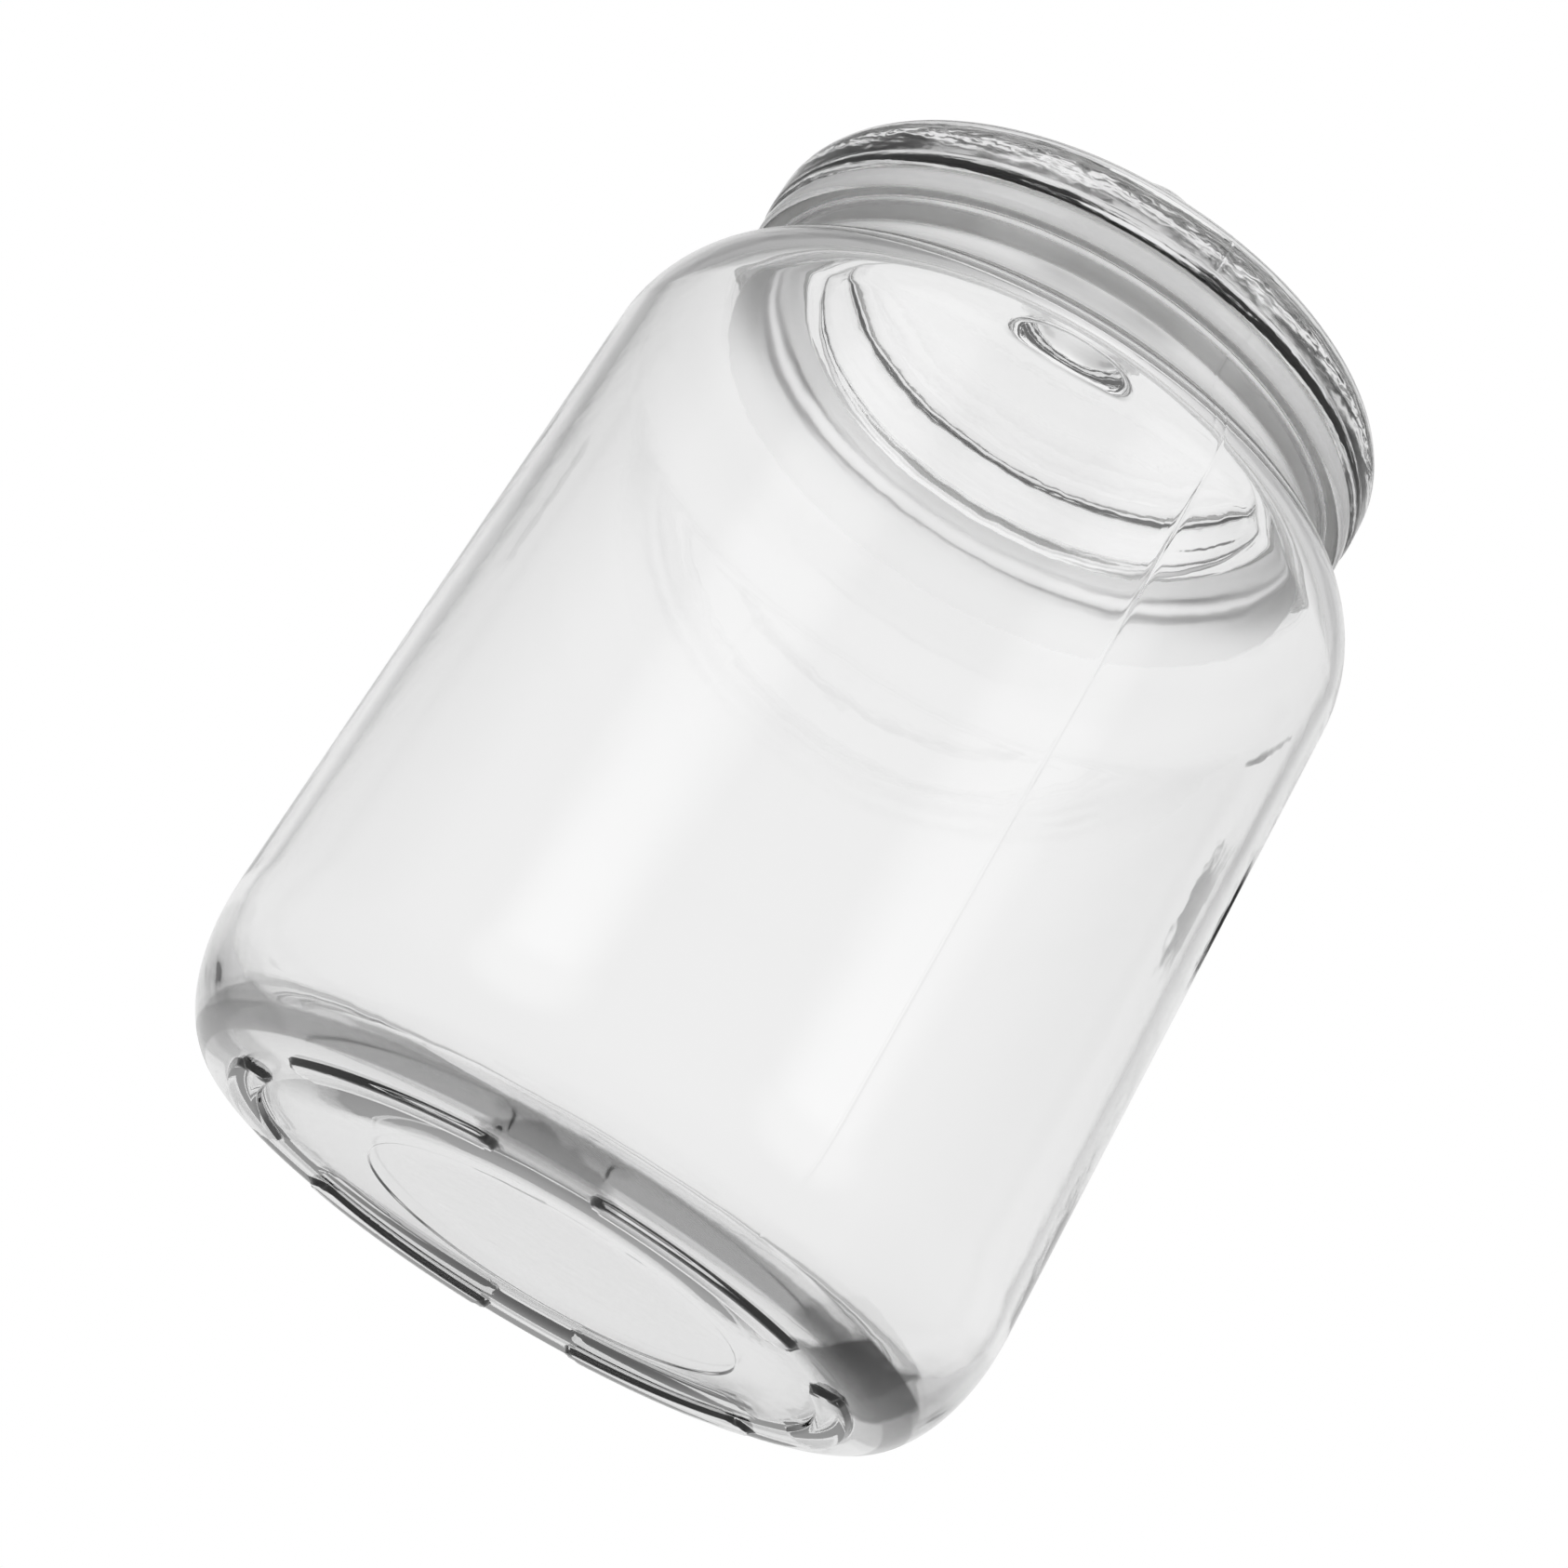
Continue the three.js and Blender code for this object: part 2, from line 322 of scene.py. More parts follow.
# Azimuths and what changes with them
def thinned(angles):
    """The angles in order, without those too close to the one before."""
    kept = []
    for angle in sorted(angles):
        if not kept or angle - kept[-1] > LEAST_COLUMN_GAP:
            kept.append(angle)
    return kept


def columns(count, seams=()):
    """Azimuths round the axis, with more of them at each seam."""
    angles = {FULL_TURN * i / count for i in range(count)}
    for seam in seams:
        for degrees in SEAM_COLUMN_DEGREES:
            angles.add((seam + math.radians(degrees)) % FULL_TURN)
    return thinned(angles)


def around(radius, height, angle):
    """The point at this radius, height and azimuth."""
    return (radius * math.cos(angle), radius * math.sin(angle), height)


def wave(angle, height, circle, rise, seed):
    """Smooth unevenness from -1 to 1 over a round surface."""
    return noise.noise(Vector(around(circle, height * rise + seed, angle)))


def unevenness(waves, height, angle):
    """Sum of the waves at this place on a round surface."""
    return sum(size * wave(angle, height, circle, rise, seed) for size, circle, rise, seed in waves)


def angle_gap(a, b):
    """The smaller turn between two azimuths."""
    return abs((a - b + math.pi) % FULL_TURN - math.pi)


def seam_rise(angle, radius, seam):
    """Height of the raised mould line at this azimuth."""
    gap = min(angle_gap(angle, seam), angle_gap(angle, seam + math.pi)) * radius
    return SEAM_HEIGHT * math.exp(-((gap / SEAM_HALF_WIDTH) ** 2))


def next_angle(angles, i):
    """The azimuth after number i of a ring: one turn on after the last, endless once all are used."""
    if i + 1 < len(angles):
        return angles[i + 1]
    if i < len(angles):
        return FULL_TURN + angles[0]
    return math.inf


class Skin:
    """Collects rings of points round the axis into one closed mesh."""

    def __init__(self):
        self.points = []
        self.faces = []
        self.last = None

    def ring(self, angles, place):
        """Adds a ring of points, place(angle) in millimetres, and joins it to the ring before."""
        first = len(self.points)
        self.points += [place(a) for a in angles]
        self.follow((list(range(first, first + len(angles))), angles))

    def rings(self, angles, outline, place):
        """Adds a ring for each (radius, height) of an outline, with place(radius, height, angle)."""
        for radius, height in outline:
            self.ring(angles, lambda a, r=radius, z=height: place(r, z, a))

    def pole(self, height):
        """Adds one point on the axis and joins it to the ring before."""
        self.points.append((0.0, 0.0, height))
        self.follow(([len(self.points) - 1], [0.0]))

    def follow(self, now):
        if self.last is not None:
            self.join(self.last, now)
        self.last = now

    def join(self, low, high):
        low_index, low_angles = low
        high_index, high_angles = high
        n, m = len(low_index), len(high_index)
        if n == m and n > 1:
            for i in range(n):
                j = (i + 1) % n
                self.faces.append((low_index[i], low_index[j], high_index[j], high_index[i]))
        elif m == 1:
            for i in range(n):
                self.faces.append((low_index[i], low_index[(i + 1) % n], high_index[0]))
        elif n == 1:
            for i in range(m):
                self.faces.append((low_index[0], high_index[(i + 1) % m], high_index[i]))
        else:
            self.zip_rings(low_index, low_angles, high_index, high_angles)

    def zip_rings(self, low_index, low_angles, high_index, high_angles):
        """Joins two rings with different numbers of points."""
        n, m = len(low_index), len(high_index)
        i = j = 0
        while i < n or j < m:
            if next_angle(low_angles, i) <= next_angle(high_angles, j):
                self.faces.append((low_index[i % n], low_index[(i + 1) % n], high_index[j % m]))
                i += 1
            else:
                self.faces.append((low_index[i % n], high_index[(j + 1) % m], high_index[j % m]))
                j += 1

    def close_loop(self, first_ring):
        self.join(self.last, first_ring)

    def make(self, name):
        mesh = bpy.data.meshes.new(name)
        mesh.from_pydata([(x * MM, y * MM, z * MM) for x, y, z in self.points], [], self.faces)
        mesh.validate()
        mesh.shade_smooth()
        made = bpy.data.objects.new(name, mesh)
        scene.collection.objects.link(made)
        return made


# Underside of the jar
def bar_share(radius, angle):
    """1 on the flat of a raised bar, 0 off the bars."""
    half = BAR_SPAN / 2 - BAR_WIDTH / 2 / BAR_MIDDLE
    pitch = FULL_TURN / BAR_COUNT
    along = (angle - BAR_PHASE + pitch / 2) % pitch - pitch / 2
    if abs(along) <= half:
        away = abs(radius - BAR_MIDDLE)
    else:
        past = abs(along) - half
        away = math.hypot(radius * math.cos(past) - BAR_MIDDLE, radius * math.sin(past))
    t = (away / (BAR_WIDTH / 2) - BAR_FLAT_SHARE) / (1 - BAR_FLAT_SHARE)
    return 1 - smooth_step(t)


def push_up_share(radius):
    """0 at the bars, 1 over the middle of the base."""
    return smooth_step((SLOPE_FOOT - radius) / (SLOPE_FOOT - CIRCLE_RADIUS + PUSH_UP_EASE))


def underside_height(radius, angle):
    """Height of the underside, where radius runs along rings that share the off-centre circle's centre."""
    slope = push_up_share(radius)
    step = CIRCLE_STEP * smooth_step((CIRCLE_RADIUS - radius) / CIRCLE_EDGE + 0.5)
    plain = BEARING_LEVEL + (PUSH_UP - CIRCLE_STEP) * slope + step
    return plain * (1 - bar_share(radius, angle))


def underside_point(radius, angle):
    """Rings near the circle are moved with it; the rings at the bars and at the middle are not."""
    fade = smooth_step(1 - abs(radius - CIRCLE_RADIUS) / CIRCLE_FADE)
    x, y, height = around(radius, underside_height(radius, angle), angle)
    return (x + fade * CIRCLE_SHIFT[0], y + fade * CIRCLE_SHIFT[1], height)


def underside_radii():
    """Ring radii, closer together at the circle and at the flanks of the bars."""
    flank = BAR_WIDTH / 2 * (1 - BAR_FLAT_SHARE)
    circle_foot = CIRCLE_RADIUS - CIRCLE_EDGE
    parts = [
        (FIRST_RING_SHARE * circle_foot, circle_foot, MIDDLE_ROWS),
        (circle_foot, CIRCLE_RADIUS + CIRCLE_EDGE, EDGE_ROWS),
        (CIRCLE_RADIUS + CIRCLE_EDGE, BAR_INNER, SLOPE_ROWS),
        (BAR_INNER, BAR_INNER + flank, EDGE_ROWS),
        (BAR_INNER + flank, BAR_OUTER - flank, BAR_FLAT_ROWS),
        (BAR_OUTER - flank, BAR_OUTER, EDGE_ROWS),
        (BAR_OUTER, BEARING_RADIUS, BEARING_ROWS),
    ]
    radii = []
    for start, end, rows in parts:
        radii += [radius for (radius,) in line((start,), (end,), rows)]
    return radii + [BEARING_RADIUS]


def underside_columns():
    """Azimuths for the underside, closer together at the rounded ends of the bars."""
    angles = set(columns(FINE_COLUMNS))
    end = BAR_WIDTH / 2 / BAR_MIDDLE
    for number in range(BAR_COUNT):
        centre = BAR_PHASE + number * FULL_TURN / BAR_COUNT
        for side in (-1, 1):
            for step in range(END_COLUMNS):
                along = BAR_SPAN / 2 - end * step / END_COLUMNS
                angles.add((centre + side * along) % FULL_TURN)
    return thinned(angles)


# Jar body
def shoulder():
    """Outside of the shoulder from the straight wall in to the neck: a round, then a hollow bend."""
    step = BODY_RADIUS - NECK_RADIUS
    run = step * SHOULDER_ROUND_SHARE / (1 - math.cos(SHOULDER_ROUND))
    end_angle = math.degrees(SHOULDER_ROUND)
    points = arc(BODY_RADIUS - run, SHOULDER_START, run, SHOULDER_RISE, 0, end_angle, SHOULDER_ROWS)
    hollow_run = step * (1 - SHOULDER_ROUND_SHARE)
    slope_at_join = run / SHOULDER_RISE * math.tan(SHOULDER_ROUND)
    cosine = 1 / (slope_at_join * SHOULDER_HOLLOW_RISE / hollow_run - 1)
    turn = math.acos(cosine)
    bend_run = hollow_run / (1 - cosine)
    bend_rise = SHOULDER_HOLLOW_RISE / math.sin(turn)
    bend_level = points[-1][1] + SHOULDER_HOLLOW_RISE
    start_angle = 180 + math.degrees(turn)
    hollow = arc(NECK_RADIUS + bend_run, bend_level, bend_run, bend_rise, start_angle, 180, HOLLOW_ROWS)
    return points + hollow[1:]


def jar_outside(shoulder_line):
    """Outline from the bearing ring up to the top of the lip."""
    lip_core = LIP_RADIUS - LIP_ROUND
    neck_foot = shoulder_line[-1][1] + FIRST_NECK_ROW
    neck_top = LIP_BOTTOM - LIP_FILLET
    outside = arc(BEARING_RADIUS, HEEL_TOP, HEEL_INSET, HEEL_HEIGHT, HEEL_FOOT_ANGLE, 0, HEEL_ROWS)
    outside += line((BODY_RADIUS, HEEL_TOP + FIRST_WALL_ROW), (BODY_RADIUS, SHOULDER_START), WALL_ROWS)
    outside += shoulder_line
    outside += line((NECK_RADIUS, neck_foot), (NECK_RADIUS, neck_top), NECK_ROWS)
    outside += corner(NECK_RADIUS + LIP_FILLET, neck_top, LIP_FILLET, 180, 90, FILLET_ROWS)
    outside += corner(lip_core, LIP_BOTTOM + LIP_ROUND, LIP_ROUND, -90, 0, ROUND_ROWS)
    outside += corner(lip_core, LIP_TOP - LIP_ROUND, LIP_ROUND, 0, 90, ROUND_ROWS)
    return outside


def jar_inside(shoulder_line):
    """Outline from the mouth down to the floor, without the middle point."""
    inner_shoulder = offset(shoulder_line, WALL_THICKNESS)[::-1]
    inner_shoulder = [point for point in inner_shoulder if point[1] < WAIST_LEVEL]
    waist_radius = inner_shoulder[0][0]
    heel_foot = INNER_RADIUS - INNER_HEEL_INSET
    heel_top = FLOOR_LEVEL + INNER_HEEL_RISE
    wall_top = SHOULDER_START - FIRST_INNER_WALL_ROW
    inside = corner(MOUTH_RADIUS + MOUTH_ROUND, FLARE_TOP, MOUTH_ROUND, 90, 180, ROUND_ROWS)
    for step in range(1, FLARE_ROWS):
        share = step / FLARE_ROWS
        radius = MOUTH_RADIUS + (waist_radius - MOUTH_RADIUS) * smooth_step(share)
        inside.append((radius, FLARE_TOP + (WAIST_LEVEL - FLARE_TOP) * share))
    inside += inner_shoulder
    inside += line((INNER_RADIUS, wall_top), (INNER_RADIUS, heel_top), INNER_WALL_ROWS)
    heel = arc(heel_foot, heel_top, INNER_HEEL_INSET, INNER_HEEL_RISE, 0, HEEL_FOOT_ANGLE, INNER_HEEL_ROWS)
    floor_radii = [heel_foot * (1 - step / FLOOR_RINGS) for step in range(FLOOR_RINGS)]
    low_part = heel + [(radius, FLOOR_LEVEL) for radius in floor_radii]
    return inside + [(radius, height + PUSH_UP * push_up_share(radius)) for radius, height in low_part]


def jar_body():
    skin = Skin()
    fine = underside_columns()
    plain = columns(PLAIN_COLUMNS, (JAR_SEAM, JAR_SEAM + math.pi))
    shoulder_line = shoulder()

    def outer(radius, height, angle):
        above_foot = smooth_step((height - SEAM_FOOT) / SEAM_FOOT_FADE)
        below_lip = smooth_step((LIP_TOP - height) / SEAM_FADE)
        rise = above_foot * below_lip * seam_rise(angle, radius, JAR_SEAM)
        return around(radius + rise, height, angle)

    def inner(radius, height, angle):
        fade = smooth_step((radius - JAR_INSIDE_WAVE_FROM) / JAR_INSIDE_WAVE_RUN)
        return around(radius + unevenness(JAR_INSIDE_WAVES, height, angle) * fade, height, angle)

    skin.pole(underside_height(0, 0))
    for radius in underside_radii():
        skin.ring(fine, lambda a, r=radius: underside_point(r, a))
    skin.rings(plain, jar_outside(shoulder_line), outer)
    skin.rings(plain, jar_inside(shoulder_line), inner)
    skin.pole(FLOOR_LEVEL + PUSH_UP)
    return skin.make("jar_glass_body")


# Seal ring
def seal_ring():
    skin = Skin()
    angles = columns(PLAIN_COLUMNS)
    inner = PLUG_RADIUS + SEAL_FIT_CLEARANCE
    outer = LIP_RADIUS - SEAL_INSET
    loop = [(inner, SEAL_BOTTOM), (outer - SEAL_EDGE, SEAL_BOTTOM)]
    loop += [(outer, SEAL_BOTTOM + SEAL_EDGE), (outer, SEAL_TOP - SEAL_EDGE)]
    loop += [(outer - SEAL_EDGE, SEAL_TOP), (inner, SEAL_TOP)]
    skin.rings(angles, loop[:1], around)
    first = skin.last
    skin.rings(angles, loop[1:], around)
    skin.close_loop(first)
    made = skin.make("seal_clear_ring")
    made.data.shade_flat()
    return made


# Lid
def dome_height(radius):
    return LID_RIM_TOP + LID_DOME_RISE * (1 - (radius / DOME_RADIUS) ** 2)


def lid_underside():
    """Outline from the middle of the hollow out over the plug to the seat."""
    plug_inner = CAVITY_RADIUS + PLUG_FLARE
    fillet_level = CEILING_LEVEL - CAVITY_FILLET
    flare_top = SEAT_LEVEL + PLUG_ROUND
    plug_level = PLUG_BOTTOM + PLUG_ROUND
    under = []
    for i in range(1, CEILING_ROWS):
        share = i / CEILING_ROWS
        under.append((CAVITY_CORE * i / CEILING_ROWS, CEILING_LEVEL + CAVITY_CROWN * (1 - share**2)))
    under += corner(CAVITY_CORE, fillet_level, CAVITY_FILLET, 90, 0, CAVITY_FILLET_ROWS)
    wall_top = (CAVITY_RADIUS, fillet_level - FIRST_CAVITY_ROW)
    under += line(wall_top, (CAVITY_RADIUS, flare_top), CAVITY_WALL_ROWS)
    under += line((CAVITY_RADIUS, flare_top), (plug_inner, plug_level), PLUG_FLARE_ROWS)
    under += corner(plug_inner + PLUG_ROUND, plug_level, PLUG_ROUND, 180, 270, PLUG_ROUND_ROWS)
    under += corner(PLUG_RADIUS - PLUG_ROUND, plug_level, PLUG_ROUND, -90, 0, PLUG_ROUND_ROWS)
    under += [(PLUG_RADIUS, SEAT_LEVEL - PLUG_ROOT), (PLUG_RADIUS + PLUG_ROOT, SEAT_LEVEL)]
    return under


def lid_top(knob_centre):
    """Outline from the seat up over the rim and the dome to the top of the knob."""
    lower_level = SEAT_LEVEL + LID_LOWER_ROUND
    upper_level = LID_RIM_TOP - LID_UPPER_ROUND
    stem_base = dome_height(STEM_FOOT)
    join_angle = math.degrees(math.acos(STEM_RADIUS / KNOB_RADIUS))
    over = corner(LID_RADIUS - LID_LOWER_ROUND, lower_level, LID_LOWER_ROUND, -90, 0, ROUND_ROWS)
    over += line((LID_RADIUS, lower_level + FIRST_RIM_ROW), (LID_RADIUS, upper_level), RIM_ROWS)
    over += corner(DOME_RADIUS, upper_level, LID_UPPER_ROUND, 0, RIM_TOP_ANGLE, RIM_TOP_ROWS)
    for share in DOME_SHARES:
        radius = STEM_FOOT + (DOME_RADIUS - STEM_FOOT) * share
        over.append((radius, dome_height(radius)))
    over += corner(STEM_FOOT, stem_base + STEM_FILLET, STEM_FILLET, STEM_START_ANGLE, -180, ROUND_ROWS)
    over += [(STEM_RADIUS, stem_base + STEM_FILLET + KNOB_STAND / 2)]
    over += corner(0, knob_centre, KNOB_RADIUS, -join_angle, KNOB_TOP_ANGLE, KNOB_ROWS)
    return over


def lid():
    skin = Skin()
    angles = columns(PLAIN_COLUMNS, (LID_SEAM, LID_SEAM + math.pi))
    knob_drop = math.sqrt(KNOB_RADIUS**2 - STEM_RADIUS**2)
    knob_centre = dome_height(STEM_FOOT) + STEM_FILLET + KNOB_STAND + knob_drop

    def outer(radius, height, angle):
        above_seat = smooth_step((height - SEAT_LEVEL) / SEAM_FADE)
        below_top = smooth_step((LID_RIM_TOP - height) / SEAM_FADE)
        seam = seam_rise(angle, radius, LID_SEAM) * above_seat * below_top
        off_stem = smooth_step((radius - LID_OUTSIDE_WAVE_FROM) / LID_OUTSIDE_WAVE_RUN)
        uneven = unevenness(LID_OUTSIDE_WAVES, height, angle) * off_stem * above_seat
        return around(radius + seam + uneven, height + uneven, angle)

    def inner(radius, height, angle):
        shown = smooth_step(radius - CAVITY_CORE) * smooth_step(height - SEAT_LEVEL)
        return around(radius + shown * unevenness(CAVITY_WAVES, height, angle), height, angle)

    skin.pole(CEILING_LEVEL + CAVITY_CROWN)
    skin.rings(angles, lid_underside(), inner)
    skin.rings(angles, lid_top(knob_centre), outer)
    skin.pole(knob_centre + KNOB_RADIUS)
    return skin.make("lid_glass")


# Shader nodes: each value is a number or the output of another node
def math_node(tree, operation, *values):
    node = tree.nodes.new("ShaderNodeMath")
    node.operation = operation
    for socket, value in zip(node.inputs, values):
        if isinstance(value, float):
            socket.default_value = value
        else:
            tree.links.new(value, socket)
    return node.outputs["Value"]


def vector_node(tree, operation, vector, constant=(0.0, 0.0, 0.0)):
    node = tree.nodes.new("ShaderNodeVectorMath")
    node.operation = operation
    tree.links.new(vector, node.inputs[0])
    node.inputs[1].default_value = constant
    return node.outputs


def ramp(tree, value, low, high):
    """Smooth rise from 0 at low to 1 at high."""
    node = tree.nodes.new("ShaderNodeMapRange")
    node.interpolation_type = "SMOOTHSTEP"
    tree.links.new(value, node.inputs["Value"])
    node.inputs["From Min"].default_value = low
    node.inputs["From Max"].default_value = high
    return node.outputs["Result"]


def noise_node(tree, place, scale, detail):
    node = tree.nodes.new("ShaderNodeTexNoise")
    node.inputs["Scale"].default_value = scale
    node.inputs["Detail"].default_value = detail
    tree.links.new(place, node.inputs["Vector"])
    return node.outputs["Fac"]


def object_place(tree):
    """Place on the object in metres."""
    return tree.nodes.new("ShaderNodeTexCoord").outputs["Object"]


def object_height(tree, place):
    split = tree.nodes.new("ShaderNodeSeparateXYZ")
    tree.links.new(place, split.inputs["Vector"])
    return split.outputs["Z"]


def axis_distance(tree, place):
    flat = vector_node(tree, "MULTIPLY", place, (1.0, 1.0, 0.0))["Vector"]
    return vector_node(tree, "LENGTH", flat)["Value"]


# Materials
def plain_material(name, colour, roughness):
    material = bpy.data.materials.new(name)
    material.use_nodes = True
    shader = material.node_tree.nodes["Principled BSDF"]
    shader.inputs["Base Color"].default_value = (*colour, 1.0)
    shader.inputs["Roughness"].default_value = roughness
    return material, shader


def glass(name, waves):
    """Clear glass; waves is a list of (features per metre, height in metres) of surface unevenness."""
    material, shader = plain_material(name, GLASS_COLOUR, 0.0)
    tree = material.node_tree
    shader.inputs["IOR"].default_value = GLASS_IOR
    shader.inputs["Transmission Weight"].default_value = 1.0
    place = object_place(tree)
    normal = None
    for scale, height in waves:
        bump = tree.nodes.new("ShaderNodeBump")
        bump.inputs["Strength"].default_value = 1.0
        bump.inputs["Distance"].default_value = height
        tree.links.new(noise_node(tree, place, scale, WAVE_DETAIL), bump.inputs["Height"])
        if normal is not None:
            tree.links.new(normal, bump.inputs["Normal"])
        normal = bump.outputs["Normal"]
    tree.links.new(normal, shader.inputs["Normal"])
    return material


def heel_band(tree, height, reach, ragged):
    """1 on the outside of the heel near the floor, with a ragged upper edge."""
    level = math_node(tree, "ADD", height, math_node(tree, "MULTIPLY", ragged, HEEL_RAGGED * MM))
    low = ramp(tree, level, (HEEL_BAND_TOP + HEEL_BAND_EDGE) * MM, HEEL_BAND_TOP * MM)
    outer = ramp(tree, reach, HEEL_BAND_FOOT * MM, (HEEL_BAND_FOOT + HEEL_BAND_EDGE) * MM)
    return math_node(tree, "MULTIPLY", low, outer)


def painted_shade_patch(tree, place, ragged, patch):
    """A patch of painted shade with a frayed edge, as deep as its depth."""
    azimuth, radius, full, gone, depth = patch
    turn = math.radians(azimuth)
    centre = (radius * math.cos(turn) * MM, radius * math.sin(turn) * MM, 0.0)
    away = vector_node(tree, "DISTANCE", place, centre)["Value"]
    frayed = math_node(tree, "ADD", away, math_node(tree, "MULTIPLY", ragged, PATCH_RAGGED * MM))
    return math_node(tree, "MULTIPLY", ramp(tree, frayed, gone * MM, full * MM), depth)


def slope_painted_shade(tree, place, reach):
    """Painted shade darkening the slope inside the bars, on one side of the base."""
    side = (math.cos(SLOPE_SIDE), math.sin(SLOPE_SIDE), 0.0)
    facing = vector_node(tree, "DOT_PRODUCT", place, side)["Value"]
    slope = math_node(tree, "MULTIPLY",
                      ramp(tree, reach, SLOPE_SHADE_FROM * MM, SLOPE_SHADE_FULL * MM),
                      ramp(tree, reach, BAR_INNER * MM, (BAR_INNER - SLOPE_SHADE_EDGE) * MM))
    near = ramp(tree, facing, SLOPE_SIDE_FROM * MM, SLOPE_SIDE_FULL * MM)
    slope = math_node(tree, "MULTIPLY", slope, near)
    return math_node(tree, "MULTIPLY", slope, SLOPE_PAINTED_SHADE)


def jar_zones(material):
    """Scuffed, rougher glass round the heel and less clear glass inside the neck, with painted shade
    darkening the glass colour round the heel and under the base.
    """
    tree = material.node_tree
    shader = tree.nodes["Principled BSDF"]
    place = object_place(tree)
    height = object_height(tree, place)
    reach = axis_distance(tree, place)
    ragged = noise_node(tree, place, RAGGED_SCALE, RAGGED_DETAIL)
    band = heel_band(tree, height, reach, ragged)
    neck = math_node(tree, "MULTIPLY",
                     ramp(tree, height, NECK_DULL_FROM * MM, NECK_DULL_FULL * MM),
                     ramp(tree, reach, (NECK_RADIUS - NECK_SKIN) * MM, (NECK_RADIUS - NECK_SKIN_FULL) * MM))
    rough = math_node(tree, "ADD",
                      math_node(tree, "MULTIPLY", band, HEEL_DULL),
                      math_node(tree, "MULTIPLY", neck, NECK_DULL))
    tree.links.new(rough, shader.inputs["Roughness"])

    # Painted shade: the glass colour is darkened at the heel band, over the whole base, at the patches and
    # on the slope, standing in for dark surroundings seen through the glass
    painted_shade = math_node(tree, "MAXIMUM", math_node(tree, "MULTIPLY", band, HEEL_PAINTED_SHADE), BASE_PAINTED_SHADE)
    foot = ramp(tree, reach, PATCH_FOOT_FROM * MM, PATCH_FOOT_FULL * MM)
    # Painted shade patches round the foot of the heel
    for patch in PAINTED_SHADE_PATCHES:
        shown = math_node(tree, "MULTIPLY", painted_shade_patch(tree, place, ragged, patch), foot)
        painted_shade = math_node(tree, "MAXIMUM", painted_shade, shown)
    painted_shade = math_node(tree, "MAXIMUM", painted_shade, slope_painted_shade(tree, place, reach))
    below = ramp(tree, height, (FLOOR_LEVEL + UNDERSIDE_EDGE) * MM, (FLOOR_LEVEL - UNDERSIDE_EDGE) * MM)
    painted_shade = math_node(tree, "MULTIPLY", painted_shade, below)
    # Mixes the painted shade colour into the glass colour
    shade_paint = tree.nodes.new("ShaderNodeMix")
    shade_paint.data_type = "RGBA"
    shade_paint.inputs["A"].default_value = shader.inputs["Base Color"].default_value
    shade_paint.inputs["B"].default_value = (*PAINTED_SHADE_COLOUR, 1.0)
    tree.links.new(painted_shade, shade_paint.inputs["Factor"])
    tree.links.new(shade_paint.outputs["Result"], shader.inputs["Base Color"])


def lid_zones(material):
    """Less clear glass at the lid's lower edge, where it rests on the lip."""
    tree = material.node_tree
    height = object_height(tree, object_place(tree))
    low = ramp(tree, height, (SEAT_LEVEL + LID_LOW_DULL_GONE) * MM, (SEAT_LEVEL + LID_LOW_DULL_FULL) * MM)
    rough = math_node(tree, "ADD", math_node(tree, "MULTIPLY", low, LID_LOW_DULL), LID_DULL)
    tree.links.new(rough, tree.nodes["Principled BSDF"].inputs["Roughness"])


def seal_clear(name):
    material, shader = plain_material(name, SEAL_COLOUR, SEAL_ROUGHNESS)
    shader.inputs["IOR"].default_value = SEAL_IOR
    shader.inputs["Transmission Weight"].default_value = SEAL_CLEAR_SHARE
    return material


# Pieces on their bodies
jar = jar_body()
jar_glass = glass("jar_glass", JAR_WAVES)
jar_zones(jar_glass)
jar.data.materials.append(jar_glass)
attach(jar, "jar")
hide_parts("jar_body")

seal = seal_ring()
seal.data.materials.append(seal_clear("seal_clear"))
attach(seal, "seal")
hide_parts("seal_ring")

cover = lid()
lid_glass = glass("lid_glass", LID_WAVES)
lid_zones(lid_glass)
cover.data.materials.append(lid_glass)
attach(cover, "lid")
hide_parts("lid")


# Floor, seen from above only, and not through or in the glass
def floor():
    mesh = bpy.data.meshes.new("floor")
    angles = columns(FLOOR_CORNERS)
    points = [around(FLOOR_REACH, FLOOR_HEIGHT, angle) for angle in angles]
    mesh.from_pydata(points, [], [tuple(range(FLOOR_CORNERS))])
    made = bpy.data.objects.new("floor", mesh)
    scene.collection.objects.link(made)
    material, shader = plain_material("floor_pale", FLOOR_COLOUR, FLOOR_ROUGHNESS)
    tree = material.node_tree
    path = tree.nodes.new("ShaderNodeLightPath").outputs
    side = tree.nodes.new("ShaderNodeNewGeometry").outputs
    clear = tree.nodes.new("ShaderNodeBsdfTransparent")
    by_glass = math_node(tree, "MAXIMUM", path["Is Glossy Ray"], path["Is Transmission Ray"])
    unseen = math_node(tree, "MAXIMUM", by_glass, side["Backfacing"])
    mix = tree.nodes.new("ShaderNodeMixShader")
    tree.links.new(unseen, mix.inputs["Fac"])
    tree.links.new(shader.outputs["BSDF"], mix.inputs[1])
    tree.links.new(clear.outputs["BSDF"], mix.inputs[2])
    tree.links.new(mix.outputs["Shader"], tree.nodes["Material Output"].inputs["Surface"])
    mesh.materials.append(material)


floor()


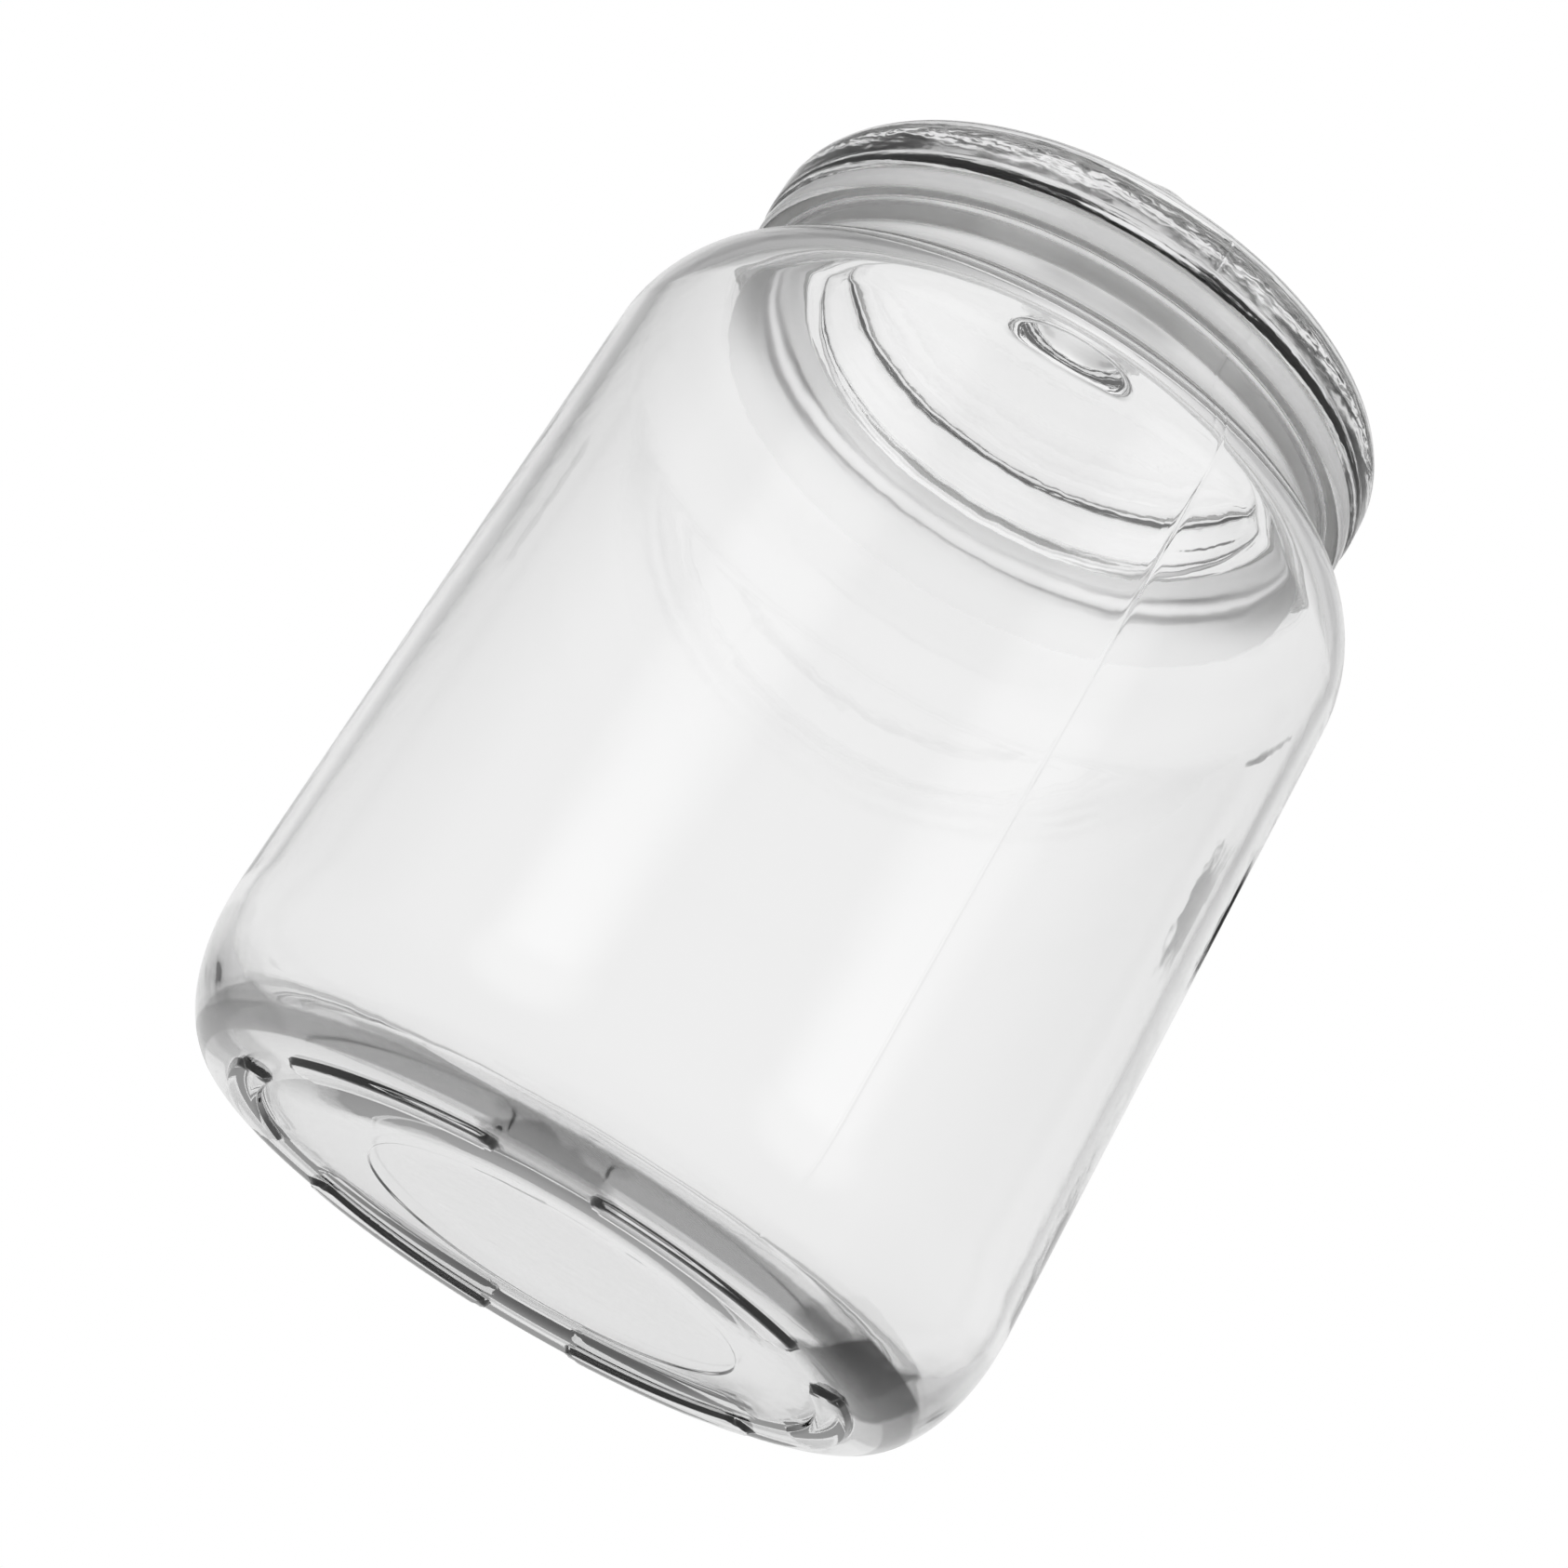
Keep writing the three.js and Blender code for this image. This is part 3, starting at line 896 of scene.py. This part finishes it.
# Studio round the object, plain white where the camera sees it directly
def studio_level(tree):
    """Level of the studio by direction, capped for light that comes through glass."""
    place = tree.nodes.new("ShaderNodeTexCoord").outputs["Generated"]
    level = STUDIO_LEVEL
    for azimuth, elevation, full, gone, change in STUDIO:
        up = math.radians(elevation)
        direction = around(math.cos(up), math.sin(up), math.radians(azimuth))
        towards = vector_node(tree, "DOT_PRODUCT", place, direction)["Value"]
        spread = ramp(tree, towards, math.cos(math.radians(gone)), math.cos(math.radians(full)))
        level = math_node(tree, "MULTIPLY_ADD", spread, change, level)
    level = math_node(tree, "MAXIMUM", level, DARKEST_LEVEL)
    capped = math_node(tree, "MINIMUM", level, THROUGH_LEVEL)
    drop = math_node(tree, "SUBTRACT", capped, level)
    through = tree.nodes.new("ShaderNodeLightPath").outputs["Is Transmission Ray"]
    return math_node(tree, "MULTIPLY_ADD", drop, through, level)


def studio():
    world = bpy.data.worlds.new("studio")
    scene.world = world
    world.use_nodes = True
    tree = world.node_tree
    soft = tree.nodes["Background"]
    tree.links.new(studio_level(tree), soft.inputs["Color"])
    soft.inputs["Strength"].default_value = 1.0
    white = tree.nodes.new("ShaderNodeBackground")
    white.inputs["Color"].default_value = (1.0, 1.0, 1.0, 1.0)
    white.inputs["Strength"].default_value = 1.0
    seen = tree.nodes.new("ShaderNodeLightPath").outputs["Is Camera Ray"]
    mix = tree.nodes.new("ShaderNodeMixShader")
    tree.links.new(seen, mix.inputs["Fac"])
    tree.links.new(soft.outputs["Background"], mix.inputs[1])
    tree.links.new(white.outputs["Background"], mix.inputs[2])
    tree.links.new(mix.outputs["Shader"], tree.nodes["World Output"].inputs["Surface"])


studio()


# Camera
def camera():
    data = bpy.data.cameras.new("camera")
    data.sensor_width = SENSOR
    data.lens = LENS
    data.clip_start = CLIP_NEAR
    data.clip_end = CLIP_FAR
    made = bpy.data.objects.new("camera", data)
    scene.collection.objects.link(made)
    right = Vector(CAMERA_RIGHT)
    back = right.cross(Vector(CAMERA_UP)).normalized()
    up = back.cross(right).normalized()
    turn = Matrix((right.normalized(), up, back)).transposed().to_4x4()
    made.matrix_world = Matrix.Translation(CAMERA_PLACE) @ turn
    scene.camera = made


camera()
